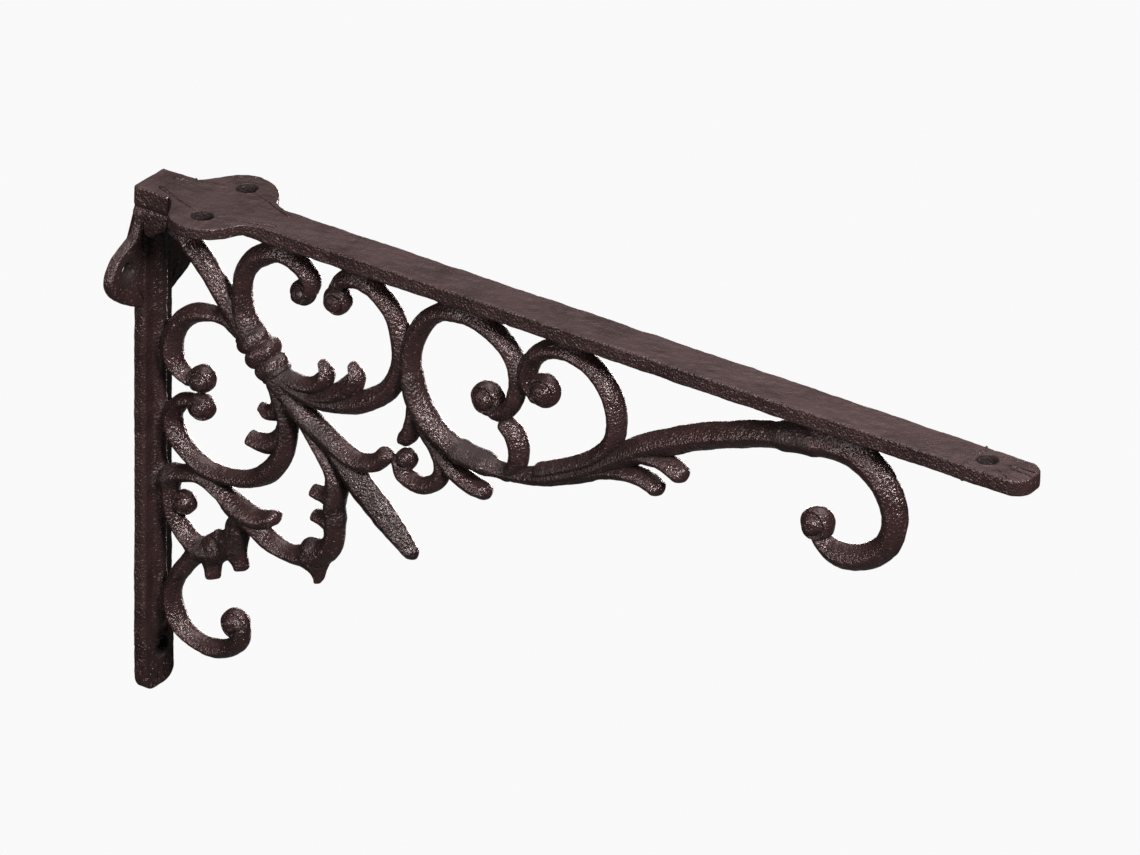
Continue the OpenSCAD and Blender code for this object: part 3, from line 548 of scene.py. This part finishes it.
# ---------------------------------------------------------------- paint
FLOAT, COLOR, VECTOR = "NodeSocketFloat", "NodeSocketColor", "NodeSocketVector"


def new_group(name, inputs, outputs):
    """A shader node group with its named sockets, and its input and output nodes."""
    tree = bpy.data.node_groups.new(name, "ShaderNodeTree")
    for label, kind, value in inputs:
        socket = tree.interface.new_socket(name=label, in_out="INPUT", socket_type=kind)
        if value is not None:
            socket.default_value = value
    for label, kind in outputs:
        tree.interface.new_socket(name=label, in_out="OUTPUT", socket_type=kind)
    return tree, tree.nodes.new("NodeGroupInput"), tree.nodes.new("NodeGroupOutput")


def math_node(tree, operation, *values, clamp=False):
    """A Math node whose inputs are sockets or numbers, and its output socket."""
    node = tree.nodes.new("ShaderNodeMath")
    node.operation, node.use_clamp = operation, clamp
    for socket, value in zip(node.inputs, values):
        if isinstance(value, bpy.types.NodeSocket):
            tree.links.new(value, socket)
        else:
            socket.default_value = value
    return node.outputs[0]


def noise_node(tree, place, scale, detail, roughness, distortion=0.0):
    """A Noise Texture at a place socket, with a socket for its scale, and its value socket."""
    node = tree.nodes.new("ShaderNodeTexNoise")
    tree.links.new(place, node.inputs["Vector"])
    tree.links.new(scale, node.inputs["Scale"])
    node.inputs["Detail"].default_value = detail
    node.inputs["Roughness"].default_value = roughness
    node.inputs["Distortion"].default_value = distortion
    return node.outputs[0]


def ramp_node(tree, value, low, high):
    """A Map Range node that takes low..high smoothly to 0..1, and its result socket."""
    node = tree.nodes.new("ShaderNodeMapRange")
    node.interpolation_type = "SMOOTHSTEP"
    tree.links.new(value, node.inputs["Value"])
    node.inputs["From Min"].default_value, node.inputs["From Max"].default_value = low, high
    return node.outputs[0]


def blend_node(tree, factor, first, second):
    """A colour Mix node between two colour sockets, and its colour socket."""
    node = tree.nodes.new("ShaderNodeMix")
    node.data_type = "RGBA"
    tree.links.new(factor, node.inputs[0])
    tree.links.new(first, node.inputs[6])
    tree.links.new(second, node.inputs[7])
    return node.outputs[2]


def sand_skin_group():
    """Sand-cast skin under paint: sand grains as rounded cells, fine noise and slow lumps make the height, and each
    cell's own random number picks the few grains that stand out bright, as painted glints."""
    tree, given, result = new_group(
        "sand_skin",
        [("Place", VECTOR, None), ("Grain", FLOAT, 1500.0), ("Patches", FLOAT, 90.0)],
        [("Height", FLOAT), ("Mottle", FLOAT), ("Fleck", FLOAT), ("Pit", FLOAT)])
    place, grain, patches = given.outputs["Place"], given.outputs["Grain"], given.outputs["Patches"]
    cells = tree.nodes.new("ShaderNodeTexVoronoi")
    cells.feature = "SMOOTH_F1"
    cells.inputs["Smoothness"].default_value = 0.6
    tree.links.new(place, cells.inputs["Vector"])
    tree.links.new(grain, cells.inputs["Scale"])
    fine = noise_node(tree, place, math_node(tree, "MULTIPLY", grain, 1.3), 2.0, 0.5)
    slow = noise_node(tree, place, math_node(tree, "MULTIPLY", grain, 0.3), 2.0, 0.5, 0.4)
    pebble = math_node(tree, "SUBTRACT", 0.9, cells.outputs["Distance"])
    height = math_node(tree, "ADD", math_node(tree, "MULTIPLY", pebble, 0.7),
                       math_node(tree, "ADD", math_node(tree, "MULTIPLY", fine, 0.5),
                                 math_node(tree, "MULTIPLY", slow, 0.5)))
    tree.links.new(height, result.inputs["Height"])
    tree.links.new(noise_node(tree, place, patches, 5.0, 0.6, 0.6), result.inputs["Mottle"])
    spots = tree.nodes.new("ShaderNodeTexVoronoi")
    spots.feature = "F1"
    tree.links.new(place, spots.inputs["Vector"])
    tree.links.new(math_node(tree, "MULTIPLY", grain, 0.75), spots.inputs["Scale"])
    split = tree.nodes.new("ShaderNodeSeparateColor")
    tree.links.new(spots.outputs["Color"], split.inputs[0])
    # the chosen grains are where the paint gets its painted glints
    chosen = ramp_node(tree, split.outputs[0], 0.82, 0.9)
    core = ramp_node(tree, math_node(tree, "SUBTRACT", 0.5, spots.outputs["Distance"]), 0.0, 0.3)
    tree.links.new(math_node(tree, "MULTIPLY", chosen, core), result.inputs["Fleck"])
    deep = noise_node(tree, place, math_node(tree, "MULTIPLY", grain, 0.16), 3.0, 0.5)
    tree.links.new(ramp_node(tree, deep, 0.6, 0.72), result.inputs["Pit"])
    return tree


def rubbed_paint_group():
    """Brown paint's colour and gloss: it drifts between two browns over the patches, is rubbed lighter and smoother
    where the skin bulges, is darker and duller with painted shade in the creases between members and in holes, and
    in the pits. Its flecks, a painted glint colour, shine less on level skin."""
    tree, given, result = new_group(
        "rubbed_paint",
        [("Mottle", FLOAT, 0.5), ("Fleck", FLOAT, 0.0), ("Pit", FLOAT, 0.0), ("Ridge", FLOAT, 0.0),
         ("Seam", FLOAT, 0.0), ("Level", FLOAT, 0.0), ("Rubbing", FLOAT, 0.6), ("Gloss", FLOAT, 0.4),
         ("Deep", COLOR, (0.0078, 0.0044, 0.0043, 1)), ("Body", COLOR, (0.0285, 0.0158, 0.0154, 1)),
         # the last colour is a painted glint, put on the chosen sand grains
         ("Rubbed", COLOR, (0.062, 0.038, 0.0365, 1)), ("Spark", COLOR, (0.15, 0.1, 0.095, 1))],
        [("Color", COLOR), ("Roughness", FLOAT)])
    socket = given.outputs
    drift = ramp_node(tree, socket["Mottle"], 0.3, 0.72)
    paint = blend_node(tree, drift, socket["Deep"], socket["Body"])
    plainer = math_node(tree, "ADD", math_node(tree, "MULTIPLY", drift, 0.5), 0.45, clamp=True)
    paint = blend_node(tree, plainer, paint, socket["Body"])
    worn = math_node(tree, "MULTIPLY", math_node(tree, "MULTIPLY", socket["Ridge"], socket["Rubbing"]),
                     math_node(tree, "ADD", drift, 0.35), clamp=True)
    paint = blend_node(tree, worn, paint, socket["Rubbed"])
    # painted shade near neighbours and in holes, together with the real dark of the pits
    shade_and_pits = math_node(tree, "MAXIMUM", math_node(tree, "MULTIPLY", socket["Seam"], 0.75),
                       math_node(tree, "MULTIPLY", socket["Pit"], 0.5), clamp=True)
    paint = blend_node(tree, shade_and_pits, paint, socket["Deep"])
    # painted glints: the chosen grains take a bright colour in place of specular glints, less on level skin; the lower
    # roughness there is real shine
    shown = math_node(tree, "SUBTRACT", 0.5, math_node(tree, "MULTIPLY", socket["Level"], 0.42))
    glint_amount = math_node(tree, "MULTIPLY", socket["Fleck"], shown)
    paint = blend_node(tree, glint_amount, paint, socket["Spark"])
    tree.links.new(paint, result.inputs["Color"])
    rough = math_node(tree, "ADD", socket["Gloss"], math_node(tree, "MULTIPLY", drift, 0.1))
    rough = math_node(tree, "SUBTRACT", rough, math_node(tree, "MULTIPLY", worn, 0.08))
    rough = math_node(tree, "ADD", rough, math_node(tree, "MULTIPLY", shade_and_pits, 0.4))
    rough = math_node(tree, "ADD", rough, math_node(tree, "MULTIPLY", socket["Level"], 0.12))
    rough = math_node(tree, "SUBTRACT", rough, math_node(tree, "MULTIPLY", socket["Fleck"], 0.16), clamp=True)
    tree.links.new(rough, result.inputs["Roughness"])
    return tree


sand_skin, rubbed_paint = sand_skin_group(), rubbed_paint_group()


def cast_iron(name, grain, patches, rubbing, gloss, depth, shine, shift, shade=1.0):
    """Brown painted cast iron: the two groups with this finish's own grain size, gloss and bump depth, and its body
    and rubbed colours times the shade. The bump is calmer where the skin is level."""
    material = bpy.data.materials.new(name)
    material.use_nodes = True
    tree = material.node_tree
    paint = tree.nodes["Principled BSDF"]
    where = tree.nodes.new("ShaderNodeTexCoord")
    mapping = tree.nodes.new("ShaderNodeMapping")
    mapping.inputs["Location"].default_value = shift
    tree.links.new(where.outputs["Object"], mapping.inputs["Vector"])
    skin = tree.nodes.new("ShaderNodeGroup")
    skin.node_tree = sand_skin
    skin.inputs["Grain"].default_value, skin.inputs["Patches"].default_value = grain, patches
    tree.links.new(mapping.outputs["Vector"], skin.inputs["Place"])
    coat = tree.nodes.new("ShaderNodeGroup")
    coat.node_tree = rubbed_paint
    coat.inputs["Rubbing"].default_value, coat.inputs["Gloss"].default_value = rubbing, gloss
    for label in ("Body", "Rubbed"):
        red, green, blue, alpha = coat.inputs[label].default_value
        coat.inputs[label].default_value = (red * shade, green * shade, blue * shade, alpha)
    for label in ("Mottle", "Fleck", "Pit"):
        tree.links.new(skin.outputs[label], coat.inputs[label])
    for label in ("ridge", "seam", "level"):
        kept = tree.nodes.new("ShaderNodeAttribute")
        kept.attribute_name = label
        tree.links.new(kept.outputs["Fac"], coat.inputs[label.capitalize()])
    level = kept.outputs["Fac"]
    bump = tree.nodes.new("ShaderNodeBump")
    bump.inputs["Strength"].default_value, bump.inputs["Distance"].default_value = 1.0, depth * MM
    calm = math_node(tree, "SUBTRACT", 1.0, math_node(tree, "MULTIPLY", level, 0.72))
    tree.links.new(math_node(tree, "MULTIPLY", skin.outputs["Height"], calm), bump.inputs["Height"])
    tree.links.new(coat.outputs["Color"], paint.inputs["Base Color"])
    tree.links.new(coat.outputs["Roughness"], paint.inputs["Roughness"])
    tree.links.new(bump.outputs["Normal"], paint.inputs["Normal"])
    paint.inputs["Metallic"].default_value = shine
    paint.inputs["Specular IOR Level"].default_value = 0.5
    return material


plate_paint = cast_iron("plate_paint", grain=1500, patches=70, rubbing=0.2, gloss=0.3, depth=0.34, shine=0.1,
                        shift=(0, 0, 0))
scroll_paint = cast_iron("scroll_paint", grain=1450, patches=95, rubbing=0.35, gloss=0.22, depth=0.4,
                         shine=0.15, shift=(0.4, 0.1, 0.2))
leaf_paint = cast_iron("leaf_paint", grain=1500, patches=120, rubbing=0.35, gloss=0.22, depth=0.4, shine=0.15,
                       shift=(0.1, 0.7, 0.3))
spear_paint = cast_iron("spear_paint", grain=1500, patches=110, rubbing=0.1, gloss=0.26, depth=0.46, shine=0.05,
                        shift=(0.3, 0.5, 0.1), shade=0.5)
ball_paint = cast_iron("ball_paint", grain=1500, patches=150, rubbing=0.35, gloss=0.22, depth=0.38, shine=0.15,
                       shift=(0.6, 0.2, 0.5))


def finish_piece(piece, paint):
    """Gives a piece its paint."""
    piece.data.materials.append(paint)


# ---------------------------------------------------------------- frame bars, lugs and pads
def across_y(a, b, level):
    """The block's side faces have a shallow groove 6.2 mm below its top, the bell 0.4 exp(-((z + 6.2) / 0.55)^2)."""
    groove = 0.4 * np.exp(-(((b + 6.2) / 0.55) ** 2)) * np.clip(np.abs(level) / 6, 0, 1) ** 8
    return np.stack([a, level - np.sign(level) * groove, b], -1)


def out_from_wall(a, b, level):
    """An outline in the wall's plane, y and z, with its levels out along x."""
    return np.stack([level, a, b], -1)


def mirrored_from_wall(a, b, level):
    """The same outline with y turned to -y."""
    return np.stack([level, -a, b], -1)


def standing(a, b, level):
    """An outline seen from above, x and y, with its levels up along z."""
    return np.stack([a, b, level], -1)


def beside_arm(a, b, level):
    """A lug stands level with the arm. Where the arm or the block covers it, it dips 0.12 mm under their tops by the
    smooth step t^2 (3 - 2t), over the last 1.3 mm."""
    t = np.clip(np.maximum((5.2 - b) / 1.3, (12.6 - a) / 1.3), 0, 1)
    return np.stack([a, b, level - 0.12 * t * t * (3 - 2 * t) * np.clip((level + 2) / 2, 0, 1)], -1)


def mirrored_beside_arm(a, b, level):
    """The lug beside the arm with y turned to -y."""
    return beside_arm(a, b, level) * [1, -1, 1]


def down_the_leg(a, b, along):
    """The leg's profile at z; its rib fades out by a cosine over 6 mm above the pad."""
    fade = 0.5 - 0.5 * np.cos(math.pi * np.clip((along + 139) / 6, 0, 1))
    return np.stack([np.where(a > LEG_THICK, LEG_THICK + (a - LEG_THICK) * fade, a), b, along], -1)


def foot_from_wall(a, b, level):
    """The pad thins from 4.6 to 3.7 mm and narrows by a thirtieth between z = -140.5 and -136.5, under the leg."""
    under = np.clip((b + 140.5) / 4, 0, 1)
    under = under * under * (3 - 2 * under)
    return np.stack([level * (1 - 0.2 * under), a * (1 - under / 30), b], -1)


def along_the_arm(a, b, along):
    """The arm's profile at x; its rib, below the plate, fades out by a cosine over the last 9 mm before x = 239. Its
    top lies 0.02 mm low, and 0.3 mm more over the 0.7 mm before x = 11.2, where the block covers it."""
    fade = 0.5 + 0.5 * np.cos(math.pi * np.clip((along - 230) / 9, 0, 1))
    under = 0.02 + 0.3 * np.clip((11.2 - along) / 0.7, 0, 1)
    z = np.where(b < -ARM_THICK, -ARM_THICK + (b + ARM_THICK) * fade, b - under * (b > -1))
    return np.stack([along, a, z], -1)


bars = {"swell": 0.06, "lumps": 0.03, "inward": True}

block = rounded_loop([(0, 0), (0, -14.5), (6, -14.5), (11.8, -9), (11.8, 0)], [0.9, 0.5, 1, 1, 0.15])
cast("corner_block", plate_rings(block, -HALF_LEG, HALF_LEG, 0.9, across_y, (5, -6)), **bars)

# the leg's rib is a soft swell: half its width at the plate, and at its crest
rib_foot, rib_crest = HALF_RIB + 1.3, HALF_RIB - 0.7
leg = rounded_loop([(0, -HALF_LEG), (LEG_THICK, -HALF_LEG), (LEG_THICK, -rib_foot), (LEG_RIB_X, -rib_crest),
                    (LEG_RIB_X, rib_crest), (LEG_THICK, rib_foot), (LEG_THICK, HALF_LEG), (0, HALF_LEG)],
                   [0.8, 1.3, 2.4, 1.6, 1.6, 2.4, 1.3, 0.8])
cast("wall_leg", bar_rings(leg, np.arange(-140, -12.4, BAR_STEP), down_the_leg), **bars)

arm = rounded_loop([(-HALF_ARM, 0), (-HALF_ARM, -ARM_THICK), (-HALF_RIB, -ARM_THICK), (-HALF_RIB, ARM_RIB_Z),
                    (HALF_RIB, ARM_RIB_Z), (HALF_RIB, -ARM_THICK), (HALF_ARM, -ARM_THICK), (HALF_ARM, 0)],
                   [0.7, 0.9, 0.8, 0.7, 0.7, 0.8, 0.9, 0.7])
cast("shelf_arm", bar_rings(arm, np.arange(10.5, ARM_LENGTH - TIP_LENGTH + 1.2, BAR_STEP), along_the_arm), **bars)

pad = rounded_loop([(-HALF_LEG, PAD_HEIGHT - LEG_HEIGHT), (-HALF_LEG, -LEG_HEIGHT), (HALF_LEG, -LEG_HEIGHT),
                    (HALF_LEG, PAD_HEIGHT - LEG_HEIGHT)], [0.3, 4.5, 4.5, 0.3])
foot_hole = [(0, HOLE_R - 0.2), (1.6, HOLE_R), (3.2, HOLE_R), (4.2, HOLE_R + 0.1), (PAD_THICK, HOLE_R + 0.4)]
cast("foot_pad", plate_rings(pad, 0, PAD_THICK, 1, foot_from_wall, (0.4, -142), foot_hole),
     joined=True, bored=3, **bars)

tip = rounded_loop([(ARM_LENGTH - TIP_LENGTH, -HALF_ARM), (ARM_LENGTH, -HALF_ARM), (ARM_LENGTH, HALF_ARM),
                    (ARM_LENGTH - TIP_LENGTH, HALF_ARM)], [0.3, 5, 5, 0.3])
tip_hole = [(-ARM_THICK, HOLE_R), (-3, HOLE_R), (-0.4, HOLE_R), (0, HOLE_R + 0.15)]
cast("arm_tip", plate_rings(tip, -ARM_THICK, 0, 0.8, standing, (266.5, 0), tip_hole), joined=True, bored=2, **bars)

wall_lug = even_loop(centre_line([(3.6, -5.5), (HALF_LEG + 0.1, -7), (7.4, -11), (9.4, -14), (13, -15.6),
                                  (17.5, -18), (20.4, -23), (19, -28), (14, -32.3), (HALF_LEG, -36),
                                  (3.6, -37.5)])[:, :2])
# the hole narrows towards the wall and opens into its countersink
screw_seat = [(0, HOLE_R - 1.1), (1.4, HOLE_R - 0.8), (2.9, HOLE_R - 0.3), (3.1, HOLE_R + 0.4),
              (WALL_LUG_THICK, COUNTERSINK_R - 0.6)]
for name, place in (("wall_lug_left", out_from_wall), ("wall_lug_right", mirrored_from_wall)):
    cast(name, plate_rings(wall_lug, 0, WALL_LUG_THICK, 0.9, place, (12.5, -22.5), screw_seat),
         joined=True, bored=3, **bars)

shelf_lug = even_loop(centre_line([(6, 3), (11, 6.1), (13.4, 8), (15.4, 11), (18.5, 15.8), (24, 18),
                                   (30, 16.6), (34.2, 12.8), (37, 8.2), (41, HALF_ARM), (45, 3.2)])[:, :2])
plain_hole = [(-SHELF_LUG_THICK, HOLE_R), (-2.5, HOLE_R), (-0.4, HOLE_R), (0, HOLE_R + 0.15)]
for name, place in (("shelf_lug_left", beside_arm), ("shelf_lug_right", mirrored_beside_arm)):
    cast(name, plate_rings(shelf_lug, -SHELF_LUG_THICK, 0, 0.7, place, (25.5, 10), plain_hole),
         joined=True, bored=2, **bars)

# ---------------------------------------------------------------- scrollwork
for name, curve in CURVES.items():
    cast(name, member_rings(curve, *THICK[name], blunt=BLUNT.get(name, 1.0)))
for name, (member, end, x, z, radius, thick) in BALLS.items():
    # the groove starts at the member's end and turns the way the member was turning five steps before it
    near, further = CURVES[member][end] - [x, z, 0], CURVES[member][5 if end == 0 else -6] - [x, z, 0]
    turn = math.copysign(1, further[0] * near[1] - further[1] * near[0])
    cast(name, ball_rings(x, z, radius, thick, turn, math.atan2(near[1], near[0])), fillet=0.25, swell=0.08)
cast("knuckle", knuckle_rings(), fillet=0.5)

for piece in [o for o in bpy.data.objects if o.name.startswith("cast_")]:
    name = piece.name.removeprefix("cast_")
    if name in BALLS or name == "knuckle":
        paint = ball_paint
    elif name == "spear_tip":
        paint = spear_paint
    elif "leaf" in name or "thorn" in name or name in ("drop_petal", "drop_foot"):
        paint = leaf_paint
    else:
        paint = scroll_paint if name in LINES else plate_paint
    finish_piece(piece, paint)

# ---------------------------------------------------------------- floor, light and camera
MIDDLE_X, FLOOR_LEVEL, FLOOR_REACH = 0.14, -0.62, 9
SEEN_GREY, FLOOR_DIM, WORLD_DIM = 0.95, 0.04, 0.05
LAMP_COLOR = (1, 0.875, 0.86)


def pale_backdrop(tree, dim, seen, plain):
    """A backdrop that is pale where it is looked at, and lights the object only dimly: an emission for camera rays,
    and the given plain shader for the others."""
    glow = tree.nodes.new("ShaderNodeEmission" if plain.type != "BACKGROUND" else "ShaderNodeBackground")
    glow.inputs["Color"].default_value = (seen, seen, seen, 1)
    glow.inputs["Strength"].default_value = 1.0
    plain.inputs[0].default_value = (dim, dim, dim, 1)
    path, mix = tree.nodes.new("ShaderNodeLightPath"), tree.nodes.new("ShaderNodeMixShader")
    tree.links.new(path.outputs["Is Camera Ray"], mix.inputs[0])
    tree.links.new(plain.outputs[0], mix.inputs[1])
    tree.links.new(glow.outputs[0], mix.inputs[2])
    output = next(node for node in tree.nodes if node.type.startswith("OUTPUT"))
    tree.links.new(mix.outputs[0], output.inputs["Surface"])


floor_mesh = bpy.data.meshes.new("studio_floor")
corners = [(x * FLOOR_REACH, y * FLOOR_REACH, 0) for x, y in ((-1, -1), (1, -1), (1, 1), (-1, 1))]
floor_mesh.from_pydata(corners, [], [(0, 1, 2, 3)])
floor_mesh.transform(Matrix.Translation((MIDDLE_X, 0, FLOOR_LEVEL)))
floor = bpy.data.objects.new("studio_floor", floor_mesh)
bpy.context.scene.collection.objects.link(floor)
pale_floor = bpy.data.materials.new("pale_floor")
pale_floor.use_nodes = True
pale_backdrop(pale_floor.node_tree, FLOOR_DIM, SEEN_GREY, pale_floor.node_tree.nodes["Principled BSDF"])
floor_mesh.materials.append(pale_floor)

world = bpy.data.worlds.new("studio")
bpy.context.scene.world = world
world.use_nodes = True
pale_backdrop(world.node_tree, WORLD_DIM, SEEN_GREY, world.node_tree.nodes["Background"])
bpy.context.scene.view_settings.view_transform = "Standard"

middle = Vector((MIDDLE_X, 0, -0.06))


def soft_box(name, towards, distance, size, power):
    """A square area light at a distance from the bracket in a given direction, facing it."""
    light = bpy.data.lights.new(name, "AREA")
    light.shape, light.size, light.energy, light.color = "SQUARE", size, power, LAMP_COLOR
    lamp = bpy.data.objects.new(name, light)
    direction = Vector(towards).normalized()
    lamp.location = middle + direction * distance
    lamp.rotation_mode = "QUATERNION"
    lamp.rotation_quaternion = direction.to_track_quat("Z", "Y")
    bpy.context.scene.collection.objects.link(lamp)


soft_box("key_light", towards=(0.9, -0.45, 0.9), distance=1.3, size=0.3, power=32)
soft_box("top_light", towards=(-0.1, 0.25, 1.0), distance=1.3, size=1.2, power=22)
soft_box("side_light", towards=(-0.3, -1.0, 0.35), distance=1.4, size=0.5, power=12.5)
soft_box("back_light", towards=(-0.5, 1.0, -0.2), distance=1.4, size=0.6, power=14)

azimuth, elevation, roll, distance = math.radians(34.38), math.radians(28.02), math.radians(1.15), 3.0
back = Vector((math.sin(azimuth) * math.cos(elevation), -math.cos(azimuth) * math.cos(elevation), math.sin(elevation)))
right = Vector((math.cos(azimuth), math.sin(azimuth), 0))
up = back.cross(right)
right, up = right * math.cos(roll) + up * math.sin(roll), up * math.cos(roll) - right * math.sin(roll)
aim_left, aim_up = 0.00186, 0.0033
aim = Vector((MIDDLE_X, 0, -0.035)) - right * aim_left + up * aim_up
camera = bpy.data.objects.new("camera", bpy.data.cameras.new("camera"))
camera.data.sensor_width = 36
camera.data.lens = 362.6
camera.data.clip_start, camera.data.clip_end = 0.1, 60
camera.matrix_world = Matrix.Translation(aim + back * distance) @ Matrix((right, up, back)).transposed().to_4x4()
bpy.context.scene.collection.objects.link(camera)
bpy.context.scene.camera = camera
